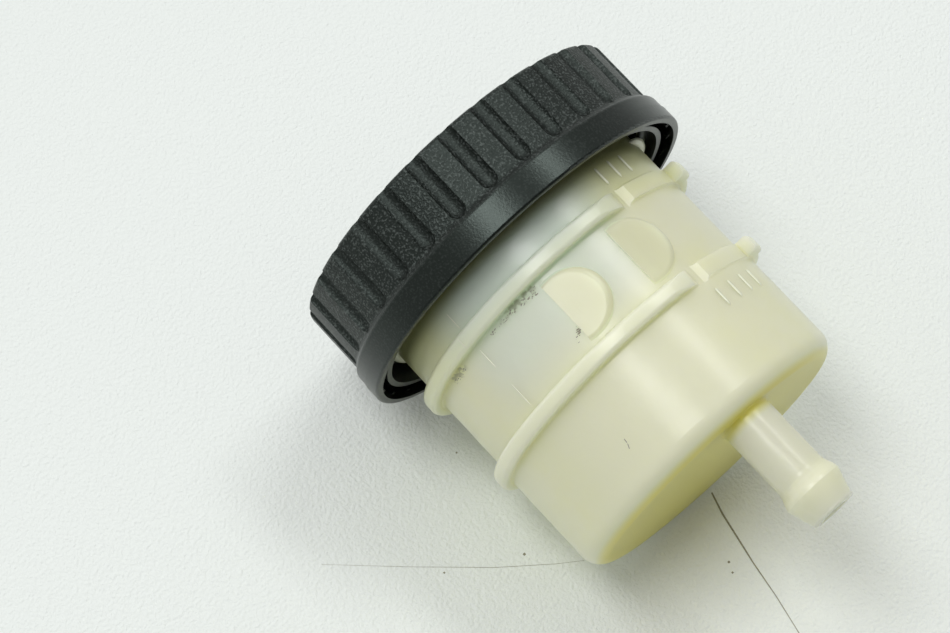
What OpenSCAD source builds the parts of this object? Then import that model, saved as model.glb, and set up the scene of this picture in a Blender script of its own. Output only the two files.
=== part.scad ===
// Brake fluid reservoir: a one-piece moulded cup with an off-centre hose spigot, closed by a
// double-walled screw cap that carries a slip plate and presses a rubber diaphragm on the neck.
// Upright frame: +Z towards the cap, the spigot hangs down on the -Y side. The origin is on the
// cup's axis, halfway along the plain wall below the lower rib. Millimetres.

/* [Cup] */
// Outside diameter of the cup
body_d = 48; // [40:0.5:60]
// Height of the plain wall below the lower rib
seat_h = 14.5; // [10:0.5:24]
// Rounding between the wall and the bottom
bottom_round = 3; // [1:0.5:5]
// Thickness of the bottom
floor_t = 2.2; // [1.6:0.1:4]
// Rounding inside the cup between the wall and the floor
floor_round = 1; // [0.6:0.1:1.2]
// How far the wall between the ribs lies inside the wall below them
band_in = 0.3; // [0.3:0.05:0.5]
// How far the neck lies inside the wall below the ribs
neck_in = 0.4; // [0.4:0.1:0.8]
// Thickness of the neck's wall
neck_wall = 2; // [1.6:0.1:2.6]

/* [Ribs] */
// Height of a rib above the wall
rib_out = 1.7; // [1.2:0.1:2.2]
// Width of a rib at its crest
rib_w = 2.6; // [1.6:0.1:3.2]
// Fillet where a rib meets the wall
rib_fillet = 0.4; // [0.25:0.05:0.6]
// Rounding of a rib's crest edges
rib_edge = 0.7; // [0.2:0.05:0.8]
// Plain wall between the two ribs
band_h = 12; // [11:0.2:18]
// Plain neck between the upper rib and the cap's lower edge
neck_show = 4.2; // [2.5:0.1:8]
// Where the rib has run out, in degrees round from the spigot
gap_start = 16.5; // [9:0.5:16.5]
// Length of the rounded run-out on which the rib ends there, in degrees
gap_ramp = 12.5; // [8:0.5:15]
// Where the low step in the gap starts, in degrees
step_start = 17.3; // [16:0.1:24]
// Slope on which the low step starts, in degrees
step_slope = 5.4; // [3:0.1:6]
// Height of the low step above the cup's outer face at its start
step_out = 0.5; // [0.5:0.05:0.8]
// Height that the low step has lost at its end
step_fall = 0.2; // [0:0.05:0.2]
// Where the gap ends and the rib starts again, in degrees
gap_end = 53; // [51:0.5:60]
// Length of the block with which the rib starts again, in degrees
block_span = 12; // [6:0.5:20]
// How far this block stands out from the rib's crest
block_out = 0.6; // [0.2:0.05:1]

/* [Pads] */
// Room between a pad and the ribs' feet
pad_gap = 0.1; // [0.1:0.1:1.5]
// Where each pad stands, in degrees round from the spigot
pad_at = [-23.6, 6.2];
// Distance of a pad's flat face above the wall
pad_out = 0.3; // [0.2:0.05:1.2]
// Rounding of a pad's edge
pad_edge = 1.2; // [0.3:0.1:1.8]
// Distance from a pad's centre to its straight edge
pad_chord = 1.4; // [0:0.1:3]

/* [Spigot] */
// Distance of the spigot's axis inside the cup's outer face
spigot_in = 6.8; // [6.7:0.1:12]
// Diameter of the plain stem
stem_d = 8; // [7.2:0.1:9]
// Length of the plain stem below the cup
stem_len = 11.2; // [8:0.2:20]
// Fillet between the stem and the cup's bottom
stem_fillet = 0.6; // [0.3:0.1:1]
// Diameter of the barb at its widest
barb_d = 9.5; // [9.1:0.1:10.4]
// Length over which the stem swells to the barb
barb_rise = 2.8; // [1.5:0.1:4]
// Length from the widest place to the tip
nose_len = 4.2; // [3:0.1:7]
// Diameter of the tip
tip_d = 7.3; // [6.6:0.1:7.8]
// Rounding of the tip's edge
tip_round = 0.4; // [0.2:0.05:0.5]
// Bore through the spigot
bore_d = 5; // [3.5:0.1:5.4]
// Funnel in the floor around the bore's upper end
funnel = 0.6; // [0.3:0.05:0.65]

/* [Cap] */
// Height of the cap
cap_h = 16.5; // [15.5:0.1:22]
// Thickness of the cap's roof
roof_t = 2.2; // [1.6:0.1:3]
// Radial room between the neck and the cap's threaded ring
thread_room = 3; // [2.6:0.1:3.6]
// Wall of the threaded ring
ring_wall = 0.9; // [0.7:0.1:1.4]
// How far the ring ends above the cap's lower edge
ring_short = 1; // [0.4:0.1:2.5]
// Pocket between the ring and the skirt
pocket_w = 0.8; // [0.6:0.1:1.6]
// Wall of the skirt
skirt_wall = 1.2; // [1.1:0.05:1.8]
// Rounding of the cap's top edge
top_round = 0.7; // [0.3:0.1:1.2]
// Height of the smooth collar at the cap's lower edge
collar_h = 5.8; // [5:0.1:7]
// How far the collar stands out from the skirt
collar_out = 0.9; // [0.6:0.1:1.6]
// Height of the slope between the skirt and the collar
flare_h = 1.3; // [0.8:0.1:2]
// Height of the collar's lower band
band_low_h = 2.6; // [1.5:0.1:3]
// Step between the collar's lower band and the rest of the collar
band_step = 0.15; // [0.1:0.05:0.3]
// Rounding of the collar's lower edge
lip_round = 0.45; // [0.2:0.05:0.55]
// Depth of the shallow panel in the roof
panel_depth = 0.4; // [0.2:0.1:0.8]
// Width of the rim around that panel
panel_rim = 5; // [3:0.5:10]

/* [Grip] */
// Number of grip grooves
groove_n = 30; // [20:1:36]
// Width of a groove
groove_w = 2.8; // [2:0.1:2.9]
// Depth of a groove
groove_depth = 0.95; // [0.5:0.05:1]
// Web behind a groove on either side of it
web_side = 0.7; // [0.4:0.1:0.8]
// Depth of the teeth inside the collar, below the webs
tooth_depth = 0.5; // [0.3:0.1:0.6]
// Width of those teeth
tooth_w = 1.2; // [0.8:0.1:2]
// Where the first groove stands, in degrees round from the spigot
groove_phase = -4.5; // [-6:0.5:6]

/* [Closure] */
// Thickness of the slip plate
plate_t = 1; // [0.8:0.1:1.4]
// Hole in the middle of the slip plate
plate_hole_d = 10; // [4:1:24]
// Clearance above, below and around the slip plate
plate_gap = 0.2; // [0.1:0.05:0.4]
// Depth of the bead that holds the slip plate in the cap
bead_depth = 1.3; // [1:0.1:1.5]
// Height of that bead
bead_h = 0.9; // [0.6:0.1:1.2]
// Thickness of the diaphragm's flange
flange_t = 1.6; // [1.2:0.1:2.4]
// How far the flange reaches past the neck
flange_over = 0.1; // [0:0.1:0.1]
// Thickness of the diaphragm's folds
fold_t = 1; // [0.8:0.1:1.2]
// Radial pitch of the folds
fold_pitch = 3.4; // [3:0.1:4]
// Depth of the folds below the neck's rim
fold_depth = 11; // [8:0.5:14]
// Height of the inner folds
fold_rise = 7; // [5:0.5:7]
// Clearance between the folds and the neck's bore
fold_gap = 0.6; // [0.3:0.1:1]

/* [Hidden] */
$fn = 96;

cut = 1;
body_r = body_d / 2;
seat_top = seat_h / 2;
bottom_z = -seat_top - bottom_round;
floor_z = bottom_z + floor_t;
rib_foot = rib_w + 2 * rib_fillet;
lower_rib_z = seat_top;
upper_rib_z = lower_rib_z + rib_foot + band_h;
neck_z = upper_rib_z + rib_foot;
crest_r = body_r + rib_out;
band_r = body_r - band_in;
neck_r = body_r - neck_in;
spigot_off = body_r - spigot_in;
pad_r = band_h / 2 - pad_gap;
cavity_r = neck_r - neck_wall;

cap_z = neck_z + neck_show;
cap_top = cap_z + cap_h;
roof_z = cap_top - roof_t;
plate_z = roof_z - plate_gap - plate_t;
flange_z = plate_z - plate_gap - flange_t;
ring_in = neck_r + thread_room;
ring_out = ring_in + ring_wall;
skirt_in = ring_out + pocket_w;
skirt_r = skirt_in + skirt_wall;
collar_r = skirt_r + collar_out;
collar_z = cap_z + collar_h;
groove_floor = skirt_r - groove_depth;

stem_r = stem_d / 2;
barb_r = barb_d / 2;
tip_r = tip_d / 2;
stem_end = bottom_z - stem_len;
barb_z = stem_end - barb_rise;
tip_z = barb_z - nose_len;
bore_r = bore_d / 2;

// Turns the local +X axis to a direction given in degrees round from the spigot
module round_from_spigot(a) {
    rotate([0, 0, a - 90]) children();
}

// Point at a radius and an angle
function polar(r, a) = [r * cos(a), r * sin(a)];

// Half section from z0 to z1 whose lower outer corner is rounded
module half_rounded_low(r, z0, z1, corner) {
    translate([0, z0 + corner]) square([r, z1 - z0 - corner]);
    translate([0, z0]) square([r - corner, corner + cut / 10]);
    intersection() {
        translate([r - corner, z0 + corner]) circle(corner);
        translate([0, z0]) square([r, corner + cut / 10]);
    }
}

// Half section from z0 to z1 whose upper outer corner is rounded
module half_rounded_high(r, z0, z1, corner) {
    mirror([0, 1]) half_rounded_low(r, -z1, -z0, corner);
}

// Concave fillet in the corner between a vertical wall at x = 0 and a level above it
module fillet_2d(size) {
    difference() {
        translate([-cut / 10, -cut / 10]) square(size + cut / 10);
        translate([size, size]) circle(size);
    }
}

// Ring between a wall below it and a wall above it, from z0 up over its two fillets
module rib_ring(z0, below_r, above_r, top_r = crest_r) {
    inner = above_r - cut / 2;
    rotate_extrude() translate([0, z0 + rib_fillet]) {
        translate([inner, -rib_fillet]) square([below_r - inner, rib_foot / 2]);
        translate([inner, 0]) square([top_r - rib_edge - inner, rib_w]);
        translate([inner, rib_edge]) square([top_r - inner, rib_w - 2 * rib_edge]);
        for (edge_z = [rib_edge, rib_w - rib_edge])
            translate([top_r - rib_edge, edge_z]) circle(rib_edge);
        translate([below_r, 0]) mirror([0, 1]) fillet_2d(rib_fillet);
        translate([above_r, rib_w]) fillet_2d(rib_fillet);
    }
}

// Upright prism over the angles between two directions
module sector(a0, a1, z0, h, reach) {
    translate([0, 0, z0]) linear_extrude(h)
        polygon([[0, 0], polar(reach, a0), polar(reach * 1.1, (a0 + a1) / 2), polar(reach, a1)]);
}

// Prism outside the slope that rises from the wall at one direction to a height at another
module above_slope(a_low, a_high, height, z0, h, reach) {
    translate([0, 0, z0]) linear_extrude(h)
        polygon([polar(neck_r - cut / 10, a_low), polar(body_r + height, a_high),
                 polar(reach, a_high), polar(reach, a_low - cut)]);
}

// Prism outside the arc that bends down from the crest at one direction to the wall at another
module above_bend(a_high, a_low, z0, h, reach) {
    foot = polar(neck_r - cut / 10, a_low - a_high);
    drop = crest_r - foot.x;
    bend = (pow(drop, 2) + pow(foot.y, 2)) / (2 * drop);
    difference() {
        sector(a_high, a_low + cut, z0, h, reach);
        rotate([0, 0, a_high]) translate([crest_r - bend, 0, z0 - cut])
            cylinder(h + 2 * cut, r = bend);
        translate([0, 0, z0 - cut]) cylinder(h + 2 * cut, r = cavity_r);
    }
}

// A rib runs round the wall but for one gap, where it bends down to the wall, a low step stands
// and the rib starts again with a block
module rib(z0, below_r, above_r) {
    reach = body_r * 1.5;
    low = z0 - cut;
    h = rib_foot + 2 * cut;
    round_from_spigot(0) {
        difference() {
            rib_ring(z0, below_r, above_r);
            sector(gap_start, gap_end, low, h, reach);
            above_bend(gap_start - gap_ramp, gap_start, low, h, reach);
        }
        intersection() {
            rib_ring(z0, below_r, above_r, crest_r + block_out);
            sector(gap_end, gap_end + block_span, low, h, reach);
        }
        difference() {
            intersection() {
                rib_ring(z0, below_r, above_r);
                sector(step_start, gap_end + cut, low, h, reach);
                rotate([0, 0, (step_start + gap_end) / 2 - 90]) translate([0, -step_fall, low])
                    cylinder(h, r = body_r + step_out - step_fall / 2);
            }
            above_slope(step_start, step_start + step_slope, step_out, low, h, reach);
        }
    }
}

// Half-moon pad: a round coin with a flat face, cut off straight on one side
module pad() {
    root = cavity_r;
    face = band_r + pad_out;
    intersection() {
        translate([root, 0, 0]) rotate([0, 90, 0])
            rotate_extrude() half_rounded_high(pad_r, 0, face - root, pad_edge);
        translate([root, -pad_chord, -pad_r]) cube([face, 2 * pad_r, 2 * pad_r]);
    }
}

// Outer face of the barb between the stem and its widest place
function barb_side(steps) = [for (i = [0:steps]) let (t = i / steps)
    [stem_r + (barb_r - stem_r) * (1 - cos(180 * t)) / 2, stem_end - barb_rise * t]];

module spigot_outside() {
    nose_slope = atan2(barb_r - tip_r, nose_len);
    edge = polar(tip_round, nose_slope);
    tip_corner = [tip_r - tip_round, tip_z + tip_round];
    rotate_extrude() {
        translate([0, stem_end]) square([stem_r, stem_len + floor_t / 2]);
        translate([stem_r, bottom_z]) mirror([0, 1]) fillet_2d(stem_fillet);
        polygon(concat([[0, stem_end]], barb_side(6), [tip_corner + edge, tip_corner],
                       [[tip_r - tip_round, tip_z], [0, tip_z]]));
        translate(tip_corner) circle(tip_round, $fn = 24);
    }
}

module reservoir_cup() {
    color([0.80, 0.80, 0.64])
    difference() {
        union() {
            rotate_extrude() half_rounded_low(body_r, bottom_z, lower_rib_z, bottom_round);
            cylinder(upper_rib_z, r = band_r);
            cylinder(flange_z, r = neck_r);
            rib(lower_rib_z, body_r, band_r);
            rib(upper_rib_z, band_r, neck_r);
            for (a = pad_at)
                round_from_spigot(a) translate([0, 0, upper_rib_z - band_h / 2]) pad();
            translate([0, -spigot_off, 0]) spigot_outside();
        }
        rotate_extrude() half_rounded_low(cavity_r, floor_z, flange_z + cut, floor_round);
        translate([0, -spigot_off, tip_z - cut])
            cylinder(floor_z - tip_z + 2 * cut, r = bore_r);
        translate([0, -spigot_off, bottom_z])
            cylinder(floor_t, r1 = bore_r, r2 = bore_r + funnel);
    }
}

// Outer face of the slope between the skirt and the collar
function flare_side(steps) = [for (i = [0:steps]) let (t = i / steps)
    [skirt_r + (collar_out - band_step) * (1 - cos(180 * t)) / 2, collar_z - flare_h * t]];

// Cap turned on its axis, with the ring and the pocket behind the skirt but without grip grooves
module cap_turned() {
    rotate_extrude() {
        difference() {
            union() {
                half_rounded_high(skirt_r, collar_z - cut, cap_top, top_round);
                half_rounded_low(collar_r, cap_z, cap_z + band_low_h, lip_round);
                polygon(concat([[0, collar_z]], flare_side(6), [[collar_r - band_step, cap_z + lip_round],
                               [0, cap_z + lip_round]]));
            }
            translate([0, cap_top - panel_depth])
                square([skirt_r - panel_rim, panel_depth + cut]);
            translate([0, cap_z - cut]) square([ring_in, roof_z - cap_z + cut]);
            translate([ring_in - cut, cap_z - cut]) square([ring_wall + 2 * cut, ring_short + cut]);
            translate([ring_out, cap_z - cut]) square([pocket_w, roof_z - cap_z + cut]);
            polygon([[skirt_in - cut / 10, cap_z - cut], [skirt_in + collar_out, cap_z - cut],
                     [skirt_in + collar_out, collar_z - flare_h - collar_out / 2],
                     [skirt_in - cut / 10, collar_z - collar_out / 2]]);
        }
        bead_top = plate_z - plate_gap;
        polygon([[ring_in + cut / 10, bead_top], [ring_in - bead_depth, bead_top - bead_h / 3],
                 [ring_in - bead_depth, bead_top - 2 * bead_h / 3],
                 [ring_in + cut / 10, bead_top - bead_h]]);
    }
}

// Round-bottomed groove with a ball-shaped lower end, open at the cap's top edge
module groove() {
    bend = (pow(groove_w / 2, 2) + pow(groove_depth, 2)) / (2 * groove_depth);
    end_z = collar_z + groove_w / 2 - flare_h / 3;
    translate([groove_floor + bend, 0, end_z]) rotate_extrude($fn = 24) {
        square([bend, cap_h]);
        intersection() {
            circle(bend);
            translate([0, -bend]) square(bend);
        }
    }
}

// Web that joins the skirt to the ring behind a groove, and the tooth below it inside the collar
module web() {
    web_w = groove_w + 2 * web_side;
    web_z = collar_z - flare_h / 2;
    tooth_z = cap_z + ring_short;
    translate([ring_out - ring_wall / 2, -web_w / 2, web_z])
        cube([ring_wall / 2 + pocket_w + skirt_wall / 4, web_w, roof_z - web_z + roof_t / 2]);
    translate([skirt_in + collar_out - tooth_depth, -tooth_w / 2, tooth_z])
        cube([tooth_depth + skirt_wall / 2, tooth_w, collar_z - flare_h - tooth_z]);
}

module screw_cap() {
    pitch = 360 / groove_n;
    color([0.17, 0.18, 0.18])
    difference() {
        union() {
            cap_turned();
            for (i = [0:groove_n - 1]) round_from_spigot(groove_phase + i * pitch) web();
        }
        for (i = [0:groove_n - 1]) round_from_spigot(groove_phase + i * pitch) groove();
    }
}

module diaphragm_plate() {
    color([0.85, 0.85, 0.80])
    translate([0, 0, plate_z]) difference() {
        cylinder(plate_t, r = ring_in - plate_gap);
        translate([0, 0, -cut]) cylinder(plate_t + 2 * cut, r = plate_hole_d / 2);
    }
}

// Half of a ring that turns one fold into the next, opening upwards
module fold_turn() {
    bend = fold_pitch / 2;
    difference() {
        circle(bend + fold_t / 2);
        circle(bend - fold_t / 2);
        translate([-fold_pitch, 0]) square([2 * fold_pitch, fold_pitch]);
    }
}

module rubber_diaphragm() {
    outer_mid = cavity_r - fold_gap - fold_t / 2;
    low_z = flange_z - fold_depth + fold_pitch / 2 + fold_t / 2;
    high_z = low_z + fold_rise;
    inner_mid = outer_mid - 2 * fold_pitch;
    base_z = flange_z - fold_depth;
    color([0.12, 0.12, 0.12])
    rotate_extrude() {
        translate([outer_mid - fold_t / 2, flange_z])
            square([neck_r + flange_over - outer_mid + fold_t / 2, flange_t]);
        translate([outer_mid - fold_t / 2, low_z]) square([fold_t, flange_z - low_z + flange_t]);
        translate([outer_mid - fold_pitch / 2, low_z]) fold_turn();
        translate([outer_mid - fold_pitch - fold_t / 2, low_z]) square([fold_t, fold_rise]);
        translate([outer_mid - 1.5 * fold_pitch, high_z]) mirror([0, 1]) fold_turn();
        translate([inner_mid - fold_t / 2, base_z]) square([fold_t, high_z - base_z]);
        translate([0, base_z]) square([inner_mid, fold_t]);
    }
}

reservoir_cup();
screw_cap();
diaphragm_plate();
rubber_diaphragm();
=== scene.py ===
"""Looks of the brake fluid reservoir: a translucent yellowed cup and a black grooved screw cap, lying
on its side on a white table. Metres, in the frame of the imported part: +Z along the cup's axis
towards the cap, -Y towards the hose spigot."""

import math
import random

import bmesh
import bpy
from mathutils import Matrix, Vector


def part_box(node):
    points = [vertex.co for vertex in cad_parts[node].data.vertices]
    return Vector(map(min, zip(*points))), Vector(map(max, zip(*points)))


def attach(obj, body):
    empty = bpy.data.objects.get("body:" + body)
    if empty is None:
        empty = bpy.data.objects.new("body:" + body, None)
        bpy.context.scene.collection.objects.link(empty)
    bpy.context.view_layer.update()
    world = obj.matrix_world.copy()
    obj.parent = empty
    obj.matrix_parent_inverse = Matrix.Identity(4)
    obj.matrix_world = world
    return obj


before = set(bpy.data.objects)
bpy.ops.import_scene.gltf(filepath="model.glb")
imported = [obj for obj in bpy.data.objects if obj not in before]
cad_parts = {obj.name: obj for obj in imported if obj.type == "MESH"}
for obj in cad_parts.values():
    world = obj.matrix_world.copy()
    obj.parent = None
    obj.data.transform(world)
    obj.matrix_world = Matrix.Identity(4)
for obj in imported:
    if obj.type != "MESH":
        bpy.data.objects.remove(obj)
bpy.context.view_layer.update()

MM = 0.001

# Sizes of the solids that the pieces here sit on
BODY_R = 24.0 * MM
BAND_R = 23.7 * MM
NECK_R = 23.6 * MM
CREST_R = 25.7 * MM
SEAT_TOP = 7.25 * MM
BAND_LOW = 10.65 * MM
BAND_TOP = 22.65 * MM
CAP_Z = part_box("screw_cap")[0].z
RING_R = 26.6 * MM
SKIRT_R = 29.5 * MM
GROOVE_DEPTH = 0.95 * MM
COLLAR_TOP = CAP_Z + 5.8 * MM

# Screw thread, the same right-hand helix on the neck and in the cap
THREAD_PITCH = 4.0 * MM
THREAD_START = 50.0
THREAD_TURNS = 2.0
STEPS_A_TURN = 72
THREAD_WIDTH = 1.7 * MM
THREAD_HEIGHT = 1.3 * MM
THREAD_RUN_OUT = 8 * MM
NECK_THREAD_Z = CAP_Z + 1.6 * MM

# Level marks: plain raised ticks. Each row has the degrees round from the spigot at which it starts,
# a count, the height of its lower ends and the radius that it stands on.
TICK_STEP = 7.5
TICK_LENGTH = 3.4 * MM
TICK_WIDTH = 0.45 * MM
TICK_HEIGHT = 0.18 * MM
UPPER_TICKS = (18.5, 3, 27.0 * MM, NECK_R)
LOWER_TICKS = (19.5, 4, 2.4 * MM, BODY_R)

# The parting line of the mould, with the radius and the first and last z in mm of each stretch
MOULD_LINE = -59.3
MOULD_LINE_WIDTH = 0.16 * MM
MOULD_LINE_HEIGHT = 0.05 * MM
MOULD_LINE_RUN_OUT = 1 * MM
MOULD_LINE_STRETCHES = ((NECK_R, 26.3, 29.3), (CREST_R, 23.3, 25.4), (BAND_R, 18.6, 22.3),
                        (BAND_R, 11.0, 15.5))

# Specks of dirt: first and last degrees, first and last z in mm, a count and a largest size in mm
DIRT_PATCHES = ((-52.0, -28.0, 22.25, 22.1, 40, 0.12), (-42.0, -35.0, 22.2, 22.0, 14, 0.16),
                (-35.0, -30.0, 22.0, 21.6, 12, 0.18), (-80.0, -71.0, 22.0, 22.2, 16, 0.16),
                (-29.4, -28.6, 13.4, 13.6, 5, 0.30), (-31.0, -27.0, 12.4, 14.8, 5, 0.14))
DIRT_SPREAD = 0.16
DIRT_SLANT = 0.05
DIRT_HEIGHT = 0.02 * MM

# A scratch below the lower rib, in degrees and mm
SCRATCH = ((-41.7, -1.7), (-41.9, -2.5), (-42.8, -3.3))
SCRATCH_WIDTH = 0.12 * MM
SCRATCH_RUN_OUT = 0.1 * MM

# Colours of the cup
WALL_CLOUDS = ((0.95, 0.94, 0.55, 1), (0.96, 0.95, 0.60, 1))
# Painted reflection: a bluish sheen of the lamps on the cup's front, faint low down and stronger
# between the ribs
FRONT_PAINTED_SHEEN = (0.92, 0.97, 0.62, 1)
BAND_PAINTED_SHEEN = (0.81, 0.93, 0.69, 1)
PAD_COLOUR = (0.76, 0.76, 0.51, 1)
RIB_COLOUR = (0.90, 0.95, 0.63, 1)
# Painted shade on the neck towards the cap: olive at the sides, bluish-grey with painted sheen at the
# front, and deep painted shade under the collar
NECK_SIDE_SHADE = (0.70, 0.72, 0.40, 1)
NECK_FRONT_SHADE_AND_SHEEN = (0.66, 0.76, 0.64, 1)
NECK_SHADE_UNDER_COLLAR = (0.26, 0.27, 0.12, 1)
# Painted shade on the underside, tinted deep yellow as by light coming through the plastic
BOTTOM_YELLOW_SHADE = (0.88, 0.76, 0.16, 1)
SMEAR_COLOUR = (0.30, 0.30, 0.19, 1)
MARK_COLOURS = ((0.74, 0.75, 0.56, 1), (0.86, 0.87, 0.72, 1))

# Azimuths in degrees of the painted bluish sheen on the cup's front, which faces the lamps, and of
# the two smears below the upper rib
SHEEN_AZIMUTH = -118
LONG_SMEAR_AZIMUTH = -126
SHORT_SMEAR_AZIMUTH = -165

# Colours of the cap, the hidden pieces, the dirt and the table
CAP_BLACK = (0.002, 0.003, 0.002, 1)
CAP_DUST = (0.060, 0.068, 0.064, 1)
CAP_GLOSS = (0.64, 0.77, 0.71, 1)
PLATE_COLOURS = ((0.60, 0.60, 0.54, 1), (0.72, 0.72, 0.67, 1))
RUBBER_COLOURS = ((0.012, 0.012, 0.012, 1), (0.035, 0.035, 0.035, 1))
GRIME_COLOURS = ((0.17, 0.16, 0.11, 1), (0.45, 0.44, 0.33, 1))
TABLE_DIRT_COLOURS = ((0.14, 0.13, 0.09, 1), (0.40, 0.39, 0.29, 1))
TABLE_WHITE = (0.83, 0.87, 0.84, 1)

# The camera, from the photograph
LENS_MM = 107.97
SENSOR_MM = 36.0
CAMERA_AT = Vector((-169.69, -379.87, -55.64)) * MM
CAMERA_RIGHT = Vector((0.727115, -0.151862, -0.669509))
CAMERA_UP = Vector((0.575171, -0.397678, 0.714864))

# The table touches the cap's collar and the cup's bottom edge
TABLE_AZIMUTH = -95.0
TABLE_LEAN = 9.5
TABLE_SIZE = 4.0

# Worn lines on the table, through points along it, across it and with a width, all in mm
LINE_LIFT = 0.03 * MM
CRACK = ((3.9, -6.8, 0.25), (2.6, -10.5, 0.3), (1.2, -16.0, 0.26), (0.3, -19.5, 0.2),
         (-1.0, -25.6, 0.14), (-2.7, -32.1, 0.12), (-5.0, -40.0, 0.08))
FINE_LINE = ((-48.0, 25.3, 0.03), (-38.4, 15.8, 0.05), (-28.9, 6.8, 0.07), (-21.7, 0.9, 0.06),
             (-18.2, -1.6, 0.04))
SPECKS = ((-24.2, 5.4, 0.4), (-35.2, 11.5, 0.3), (-20.3, 25.1, 0.25), (-2.3, -16.8, 0.35),
          (-3.1, -18.4, 0.3))

# Two tall window panes make the two light stripes round the cap's collar. Each has a name, an
# azimuth, an elevation, a width and a height in metres and a power in watts.
LAMP_DISTANCE = 0.8
LAMP_TARGET = Vector((0, 0, 10)) * MM
LAMPS = (("right_pane", -68.0, 14.0, 0.11, 0.36, 1.3),
         ("left_pane", -111.0, 16.0, 0.23, 0.38, 2.2))

# The sky round the table, darker towards the cup's bottom than towards the cap. Its strength changes
# between two heights on a unit sphere.
SKY_LOW = 0.10
SKY_HIGH = 0.86
SKY_SPAN = 0.8


def spherical(azimuth, elevation):
    """Unit vector at an azimuth and an elevation in degrees."""
    a = math.radians(azimuth)
    e = math.radians(elevation)
    return Vector((math.cos(e) * math.cos(a), math.cos(e) * math.sin(a), math.sin(e)))


def from_spigot(degrees, radius, z):
    """Point at degrees round from the spigot, counted anticlockwise seen from the cap."""
    a = math.radians(degrees - 90)
    return Vector((radius * math.cos(a), radius * math.sin(a), z))


class Shader:
    """A new material with short ways to add and join nodes."""

    def __init__(self, name):
        self.material = bpy.data.materials.new(name)
        self.material.use_nodes = True
        self.nodes = self.material.node_tree.nodes
        self.links = self.material.node_tree.links
        self.main = self.nodes["Principled BSDF"]
        self.place = self.nodes.new("ShaderNodeTexCoord").outputs["Object"]

    def set(self, **values):
        """Sets the main shader's own sockets, with _ for a space in their names."""
        for key, value in values.items():
            self.main.inputs[key.replace("_", " ")].default_value = value

    def join(self, value, socket):
        """Links an output to a socket, or sets the socket to a plain value."""
        if hasattr(value, "is_output"):
            self.links.new(value, socket)
        else:
            socket.default_value = value

    def math(self, operation, a, b=0.0):
        node = self.nodes.new("ShaderNodeMath")
        node.operation = operation
        self.join(a, node.inputs[0])
        self.join(b, node.inputs[1])
        return node.outputs[0]

    def noise(self, size, detail=2.0):
        """Noise whose features have a size in metres."""
        node = self.nodes.new("ShaderNodeTexNoise")
        node.inputs["Scale"].default_value = 1 / size
        node.inputs["Detail"].default_value = detail
        self.links.new(self.place, node.inputs["Vector"])
        return node.outputs["Fac"]

    def ramp(self, value, low, high, start=0.0, end=1.0):
        """Maps value smoothly from the range low..high to start..end."""
        node = self.nodes.new("ShaderNodeMapRange")
        node.interpolation_type = "SMOOTHSTEP"
        node.inputs["From Min"].default_value = low
        node.inputs["From Max"].default_value = high
        node.inputs["To Min"].default_value = start
        node.inputs["To Max"].default_value = end
        self.join(value, node.inputs["Value"])
        return node.outputs["Result"]

    def round_axis(self):
        """Object-space x, y, z and the distance from the cup's axis."""
        node = self.nodes.new("ShaderNodeSeparateXYZ")
        self.links.new(self.place, node.inputs[0])
        x, y, z = node.outputs
        r = self.math("SQRT", self.math("ADD", self.math("MULTIPLY", x, x),
                                        self.math("MULTIPLY", y, y)))
        return x, y, z, r

    def toward(self, x, y, r, azimuth):
        """Cosine of the angle round the axis from an azimuth in degrees."""
        a = math.radians(azimuth)
        along = self.math("ADD", self.math("MULTIPLY", x, math.cos(a)),
                          self.math("MULTIPLY", y, math.sin(a)))
        return self.math("DIVIDE", along, r)

    def blend(self, fac, a, b):
        """Colour a where fac is 0 and colour b where it is 1."""
        node = self.nodes.new("ShaderNodeMix")
        node.data_type = "RGBA"
        factor, colour_a, colour_b = (node.inputs[i] for i in (0, 6, 7))
        self.join(fac, factor)
        self.join(a, colour_a)
        self.join(b, colour_b)
        return node.outputs[2]

    def speckle(self, size, colours, detail=2.0):
        """Colours the surface with two colours in noise of a size in metres."""
        colour = self.blend(self.noise(size, detail), *colours)
        self.join(colour, self.main.inputs["Base Color"])

    def bump(self, height, distance):
        """Raises the surface by height times a distance in metres."""
        node = self.nodes.new("ShaderNodeBump")
        node.inputs["Strength"].default_value = 1.0
        node.inputs["Distance"].default_value = distance
        self.links.new(height, node.inputs["Height"])
        self.links.new(node.outputs["Normal"], self.main.inputs["Normal"])


def wear(node_name, material):
    """Gives a CAD node its material."""
    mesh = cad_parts[node_name].data
    mesh.materials.clear()
    mesh.materials.append(material)


def smears(s, x, y, z, r):
    """Where dirt lies in the corner below the upper rib, in two stretches round the cup."""
    corner = s.math("MULTIPLY", s.ramp(z, BAND_TOP - 1.3 * MM, BAND_TOP - 0.2 * MM),
                    s.ramp(r, BODY_R + 0.4 * MM, BODY_R))
    stretch = s.math("MAXIMUM", s.ramp(s.toward(x, y, r, LONG_SMEAR_AZIMUTH), 0.978, 0.997),
                     s.ramp(s.toward(x, y, r, SHORT_SMEAR_AZIMUTH), 0.992, 0.999))
    below_rib = s.math("MULTIPLY", corner, s.ramp(z, BAND_TOP + 0.6 * MM, BAND_TOP + 0.2 * MM))
    streaks = s.ramp(s.noise(0.8 * MM, 4), 0.40, 0.62, 0.0, 0.6)
    return s.math("MULTIPLY", s.math("MULTIPLY", below_rib, stretch), streaks)


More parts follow.
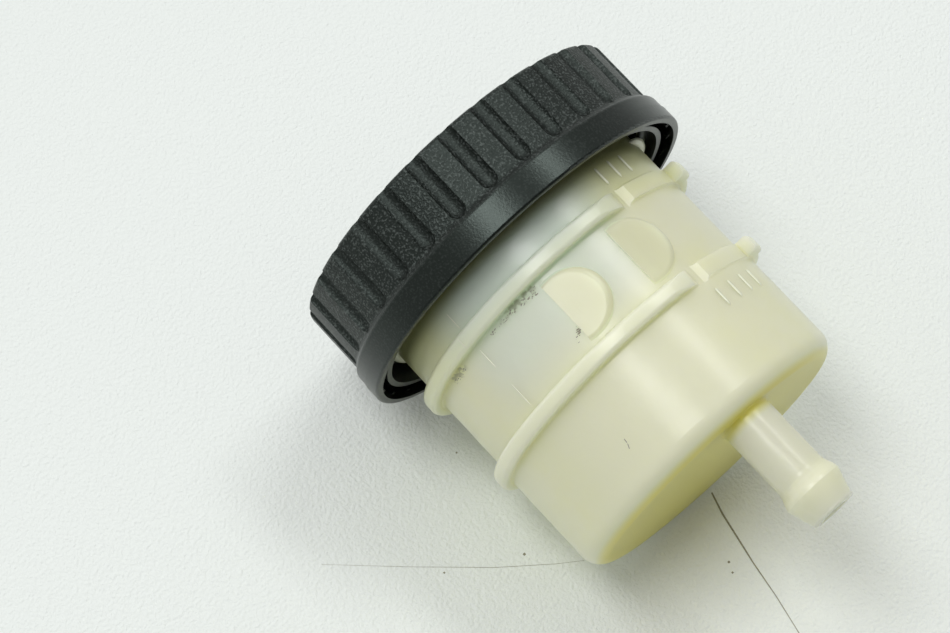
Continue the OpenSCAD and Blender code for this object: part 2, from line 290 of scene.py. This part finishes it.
def cup_plastic():
    """Cloudy yellowed plastic with painted light: a painted bluish sheen on the front facing the
    lamps, painted shade towards and under the cap with painted sheen on the neck's front, and yellow
    painted shade at the bottom.
    """
    s = Shader("cup_plastic")
    s.set(Roughness=0.3, IOR=1.5, Transmission_Weight=0.1)
    s.set(Subsurface_Weight=1.0, Subsurface_Scale=5 * MM, Subsurface_Radius=(1.0, 1.0, 0.95))
    x, y, z, r = s.round_axis()
    cloud = s.ramp(s.noise(9 * MM, 3), 0.35, 0.65)
    colour = s.blend(cloud, *WALL_CLOUDS)
    # Painted reflection: the front, which faces the lamps, is tinted bluish as by their sheen
    front = s.ramp(s.toward(x, y, r, SHEEN_AZIMUTH), 0.65, 0.97)
    colour = s.blend(front, colour, FRONT_PAINTED_SHEEN)
    band_sheen = s.math("MULTIPLY", front, s.ramp(z, BAND_LOW - 2 * MM, BAND_LOW + 8 * MM))
    colour = s.blend(band_sheen, colour, BAND_PAINTED_SHEEN)
    between_ribs = s.math("MULTIPLY", s.ramp(z, BAND_LOW, BAND_LOW + 0.2 * MM),
                          s.ramp(z, BAND_TOP, BAND_TOP - 0.2 * MM))
    pads = s.math("MULTIPLY", s.ramp(r, BAND_R + 0.1 * MM, BAND_R + 0.3 * MM), between_ribs)
    colour = s.blend(pads, colour, PAD_COLOUR)
    ribs = s.ramp(r, BODY_R + 0.2 * MM, BODY_R + 0.8 * MM)
    colour = s.blend(ribs, colour, RIB_COLOUR)
    # Painted shade on the neck towards the cap, with painted sheen at its front, and deep painted
    # shade under the cap's collar
    neck = s.blend(band_sheen, NECK_SIDE_SHADE, NECK_FRONT_SHADE_AND_SHEEN)
    colour = s.blend(s.ramp(z, CAP_Z - 10 * MM, CAP_Z - 2 * MM), colour, neck)
    colour = s.blend(s.ramp(z, CAP_Z - 1 * MM, CAP_Z + 1.5 * MM), colour, NECK_SHADE_UNDER_COLLAR)
    # Painted shade: the bottom, which faces away from the lamps, is tinted deep yellow as by light
    # coming through the plastic
    bottom = s.math("MULTIPLY", s.ramp(z, -SEAT_TOP - 1.8 * MM, -SEAT_TOP - 3 * MM),
                    s.ramp(z, -SEAT_TOP - 5 * MM, -SEAT_TOP - 3.1 * MM))
    colour = s.blend(bottom, colour, BOTTOM_YELLOW_SHADE)
    colour = s.blend(smears(s, x, y, z, r), colour, SMEAR_COLOUR)
    s.join(colour, s.main.inputs["Base Color"])
    s.bump(s.noise(3 * MM, 3), 0.06 * MM)
    return s.material


def fine_marks():
    """The cup's plastic in fine raised lines and threads, which look paler than the wall."""
    s = Shader("fine_marks")
    s.set(Roughness=0.3)
    s.speckle(2 * MM, MARK_COLOURS)
    return s.material


def cap_plastic():
    """Black plastic with a coarse dusty grain on the skirt and a smooth collar."""
    s = Shader("cap_plastic")
    s.set(IOR=1.5, Specular_Tint=CAP_GLOSS)
    z, r = s.round_axis()[2:]
    grained = s.ramp(z, COLLAR_TOP - 1.6 * MM, COLLAR_TOP, 0.2, 1.0)
    s.join(s.ramp(grained, 0.2, 1.0, 0.29, 0.42), s.main.inputs["Roughness"])
    grain = s.noise(0.32 * MM)
    # Dust on the grain, thinner in the grooves so that they come out darker: painted shade in the
    # grooves
    raised = s.ramp(r, SKIRT_R - GROOVE_DEPTH, SKIRT_R - GROOVE_DEPTH / 3, 0.6, 1.0)
    dust_and_groove_shade = s.math("MULTIPLY", s.math("MULTIPLY", s.ramp(grain, 0.50, 0.68), grained), raised)
    s.join(s.blend(dust_and_groove_shade, CAP_BLACK, CAP_DUST), s.main.inputs["Base Color"])
    s.bump(s.math("MULTIPLY", grain, grained), 0.11 * MM)
    return s.material


def plate_plastic():
    """Natural plastic of the slip plate, faintly cloudy."""
    s = Shader("plate_plastic")
    s.set(Roughness=0.5)
    s.speckle(4 * MM, PLATE_COLOURS)
    return s.material


def diaphragm_rubber():
    """Black rubber with a fine bloom."""
    s = Shader("diaphragm_rubber")
    s.set(Roughness=0.6)
    s.speckle(2 * MM, RUBBER_COLOURS, 4)
    s.bump(s.noise(0.4 * MM), 0.03 * MM)
    return s.material


def grime():
    """Dried dirt in specks of uneven darkness."""
    s = Shader("grime")
    s.set(Roughness=0.8)
    s.speckle(0.5 * MM, GRIME_COLOURS)
    return s.material


def clear_back(s):
    """Lets a camera below the table see through the back of a surface on it."""
    clear = s.nodes.new("ShaderNodeBsdfTransparent")
    geometry = s.nodes.new("ShaderNodeNewGeometry")
    path = s.nodes.new("ShaderNodeLightPath")
    side = s.nodes.new("ShaderNodeMixShader")
    seen = s.math("MULTIPLY", geometry.outputs["Backfacing"], path.outputs["Is Camera Ray"])
    s.links.new(seen, side.inputs["Fac"])
    s.links.new(s.main.outputs["BSDF"], side.inputs[1])
    s.links.new(clear.outputs["BSDF"], side.inputs[2])
    s.links.new(side.outputs["Shader"], s.nodes["Material Output"].inputs["Surface"])


def table_material():
    """White leathercloth."""
    s = Shader("table")
    s.set(Base_Color=TABLE_WHITE, Roughness=0.55)
    s.bump(s.noise(0.55 * MM, 2), 0.22 * MM)
    clear_back(s)
    return s.material


def table_dirt():
    """Dirt in the table's crack, its fine line and its specks."""
    s = Shader("table_dirt")
    s.set(Roughness=0.8)
    s.speckle(0.5 * MM, TABLE_DIRT_COLOURS)
    clear_back(s)
    return s.material


CUP = cup_plastic()
MARKS = fine_marks()
CAP = cap_plastic()
wear("reservoir_cup", CUP)
wear("screw_cap", CAP)
wear("diaphragm_plate", plate_plastic())
wear("rubber_diaphragm", diaphragm_rubber())


def new_piece(name, mesh, material, body):
    """Makes an object of a finished bmesh that rides on a body."""
    bmesh.ops.recalc_face_normals(mesh, faces=mesh.faces)
    data = bpy.data.meshes.new(name)
    mesh.to_mesh(data)
    mesh.free()
    data.polygons.foreach_set("use_smooth", [True] * len(data.polygons))
    data.materials.append(material)
    piece = bpy.data.objects.new(name, data)
    bpy.context.scene.collection.objects.link(piece)
    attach(piece, body)


def add_ridge(mesh, path, radius, width, height, run_out, outward=1):
    """Adds a rounded ridge along (degrees, z) points on a cylinder, running out at both ends. It
    stands out from the cylinder's surface, or inwards where outward is -1."""
    sides = 6
    points = [from_spigot(degrees, radius, z) for degrees, z in path]
    length = sum((b - a).length for a, b in zip(points, points[1:]))
    gone = 0.0
    rings = []
    for i, point in enumerate(points):
        before = points[max(i - 1, 0)]
        gone += (point - before).length
        edge = min(1.0, min(gone, length - gone) / run_out)
        grown = max(0.1, math.sqrt(1 - (1 - edge) ** 2))
        out = Vector((point.x, point.y, 0)).normalized() * outward
        side = out.cross(points[min(i + 1, len(points) - 1)] - before).normalized()
        ring = []
        for k in range(sides + 1):
            turn = math.pi * k / sides
            rise = (height + width / 8) * math.sin(turn) * grown - width / 8
            off = math.cos(turn) * width * grown / 2
            ring.append(mesh.verts.new(point + side * off + out * rise))
        rings.append(ring)
    for low, high in zip(rings, rings[1:]):
        for k in range(sides + 1):
            j = (k + 1) % (sides + 1)
            mesh.faces.new((low[k], low[j], high[j], high[k]))
    mesh.faces.new(rings[0])
    mesh.faces.new(rings[-1])


def straight(a, b, steps=8):
    """Points from one (degrees, z) pair to another."""
    return [(a[0] + (b[0] - a[0]) * i / steps, a[1] + (b[1] - a[1]) * i / steps)
            for i in range(steps + 1)]


def add_threads():
    """The neck's thread and, half a pitch higher, the thread in the cap's inner ring."""
    for name, radius, outward, z, material, body, slot in (
            ("neck_thread", NECK_R, 1, NECK_THREAD_Z, MARKS, "cup", "cup_plastic"),
            ("cap_thread", RING_R, -1, NECK_THREAD_Z + THREAD_PITCH / 2, CAP, "cap", "cap_plastic")):
        path = straight((THREAD_START, z),
                        (THREAD_START + 360 * THREAD_TURNS, z + THREAD_PITCH * THREAD_TURNS),
                        int(THREAD_TURNS * STEPS_A_TURN))
        mesh = bmesh.new()
        add_ridge(mesh, path, radius, THREAD_WIDTH, THREAD_HEIGHT, THREAD_RUN_OUT, outward)
        new_piece(name, mesh, material, body)


def add_level_ticks():
    """The two rows of level marks, above the upper rib and below the lower one."""
    for name, (start, count, low, radius) in (("upper_ticks", UPPER_TICKS),
                                              ("lower_ticks", LOWER_TICKS)):
        mesh = bmesh.new()
        for i in range(count):
            degrees = start + i * TICK_STEP
            path = straight((degrees, low), (degrees, low + TICK_LENGTH))
            add_ridge(mesh, path, radius, TICK_WIDTH, TICK_HEIGHT, TICK_WIDTH / 2)
        new_piece(name, mesh, MARKS, "cup")


def add_mould_line():
    """The parting line of the mould, faint along the neck, the upper rib's crest and the band."""
    mesh = bmesh.new()
    for radius, low, high in MOULD_LINE_STRETCHES:
        path = straight((MOULD_LINE, low * MM), (MOULD_LINE, high * MM))
        add_ridge(mesh, path, radius, MOULD_LINE_WIDTH, MOULD_LINE_HEIGHT, MOULD_LINE_RUN_OUT)
    new_piece("mould_line", mesh, MARKS, "cup")


def add_grime():
    """Dirt in specks below the upper rib and on the band, and a scratch below the lower rib."""
    chance = random.Random(4)
    mesh = bmesh.new()
    for a_low, a_high, z_low, z_high, count, size in DIRT_PATCHES:
        for _ in range(count):
            share = chance.random()
            degrees = a_low + (a_high - a_low) * share
            z = (z_low + (z_high - z_low) * share + chance.gauss(0, DIRT_SPREAD)) * MM
            width = size * chance.uniform(0.3, 1.0) * MM
            long = math.degrees(width * chance.uniform(1.0, 5.0) / BAND_R)
            end = (degrees + long, z + chance.gauss(0, DIRT_SLANT) * MM)
            add_ridge(mesh, straight((degrees, z), end, 3), BAND_R, width, DIRT_HEIGHT, width)
    for a, b in zip(SCRATCH, SCRATCH[1:]):
        path = straight((a[0], a[1] * MM), (b[0], b[1] * MM))
        add_ridge(mesh, path, BODY_R, SCRATCH_WIDTH, DIRT_HEIGHT, SCRATCH_RUN_OUT)
    new_piece("grime_marks", mesh, grime(), "cup")


def table_axes():
    """The table's upward normal, its height along that and two axes in its plane."""
    up = spherical(TABLE_AZIMUTH, TABLE_LEAN)
    lowest = min(up.dot(v.co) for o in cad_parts.values() for v in o.data.vertices)
    along = Vector((0, 0, 1)).cross(up).normalized()
    return up, lowest, along, up.cross(along)


def stage_mesh(name, corners, faces, material):
    """A mesh of the table or of what lies on it."""
    mesh = bpy.data.meshes.new(name)
    mesh.from_pydata(corners, [], faces)
    mesh.materials.append(material)
    thing = bpy.data.objects.new(name, mesh)
    bpy.context.scene.collection.objects.link(thing)


def lay_table():
    """The table under the part as it lies: on its cap's collar and its cup's lower edge."""
    up, lowest, along, across = table_axes()
    half = TABLE_SIZE / 2
    corners = [along * x + across * y + up * lowest for x, y in
               ((-half, -half), (half, -half), (half, half), (-half, half))]
    stage_mesh("table", corners, [(0, 1, 2, 3)], table_material())


def table_line(name, path, material):
    """A thin worn line on the table through (along, across, width) points in millimetres."""
    up, lowest, along, across = table_axes()
    lift = up * (lowest + LINE_LIFT)
    corners = []
    for i, (x, y, width) in enumerate(path):
        before, after = path[max(i - 1, 0)], path[min(i + 1, len(path) - 1)]
        run = Vector((after[0] - before[0], after[1] - before[1])).normalized() * width / 2
        for sign in (-1, 1):
            corners.append((along * (x - sign * run.y) + across * (y + sign * run.x)) * MM + lift)
    faces = [(2 * i + 2, 2 * i + 3, 2 * i + 1, 2 * i) for i in range(len(path) - 1)]
    stage_mesh(name, corners, faces, material)


def wear_table():
    """The crack beside the bottom, a fine line in front of it and a few specks."""
    dirt = table_dirt()
    table_line("table_crack", CRACK, dirt)
    table_line("table_line", FINE_LINE, dirt)
    for i, (x, y, size) in enumerate(SPECKS):
        table_line(f"table_speck_{i}", ((x - size / 2, y, size), (x + size / 2, y, size)), dirt)


def area_lamp(name, place, width, height, power):
    """An upright pane of light at a place, facing the cup."""
    data = bpy.data.lights.new(name, "AREA")
    data.shape = "RECTANGLE"
    data.size = width
    data.size_y = height
    data.energy = power
    lamp = bpy.data.objects.new(name, data)
    bpy.context.scene.collection.objects.link(lamp)
    lamp.rotation_euler = (LAMP_TARGET - place).to_track_quat("-Z", "Y").to_euler()
    lamp.location = place


def light_up():
    """The graded sky and the window panes."""
    world = bpy.data.worlds.new("world")
    world.use_nodes = True
    nodes = world.node_tree.nodes
    links = world.node_tree.links
    split = nodes.new("ShaderNodeSeparateXYZ")
    links.new(nodes.new("ShaderNodeTexCoord").outputs["Generated"], split.inputs[0])
    sky = nodes.new("ShaderNodeMapRange")
    sky.inputs["From Min"].default_value = -SKY_SPAN
    sky.inputs["From Max"].default_value = SKY_SPAN
    sky.inputs["To Min"].default_value = SKY_LOW
    sky.inputs["To Max"].default_value = SKY_HIGH
    links.new(split.outputs["Z"], sky.inputs["Value"])
    links.new(sky.outputs["Result"], nodes["Background"].inputs["Strength"])
    nodes["Background"].inputs["Color"].default_value = (1, 1, 1, 1)
    bpy.context.scene.world = world
    for name, azimuth, elevation, width, height, power in LAMPS:
        place = LAMP_TARGET + spherical(azimuth, elevation) * LAMP_DISTANCE
        area_lamp(name, place, width, height, power)


def set_camera():
    """The camera of the photograph."""
    data = bpy.data.cameras.new("camera")
    data.lens = LENS_MM
    data.sensor_width = SENSOR_MM
    data.sensor_fit = "HORIZONTAL"
    data.clip_start = 0.01
    camera = bpy.data.objects.new("camera", data)
    back = CAMERA_RIGHT.cross(CAMERA_UP)
    turn = Matrix((CAMERA_RIGHT, CAMERA_UP, back)).transposed()
    camera.matrix_world = Matrix.Translation(CAMERA_AT) @ turn.to_4x4()
    bpy.context.scene.collection.objects.link(camera)
    bpy.context.scene.camera = camera


add_threads()
add_level_ticks()
add_mould_line()
add_grime()
lay_table()
wear_table()
light_up()
set_camera()
bpy.context.scene.view_settings.view_transform = "Standard"

bpy.context.view_layer.update()
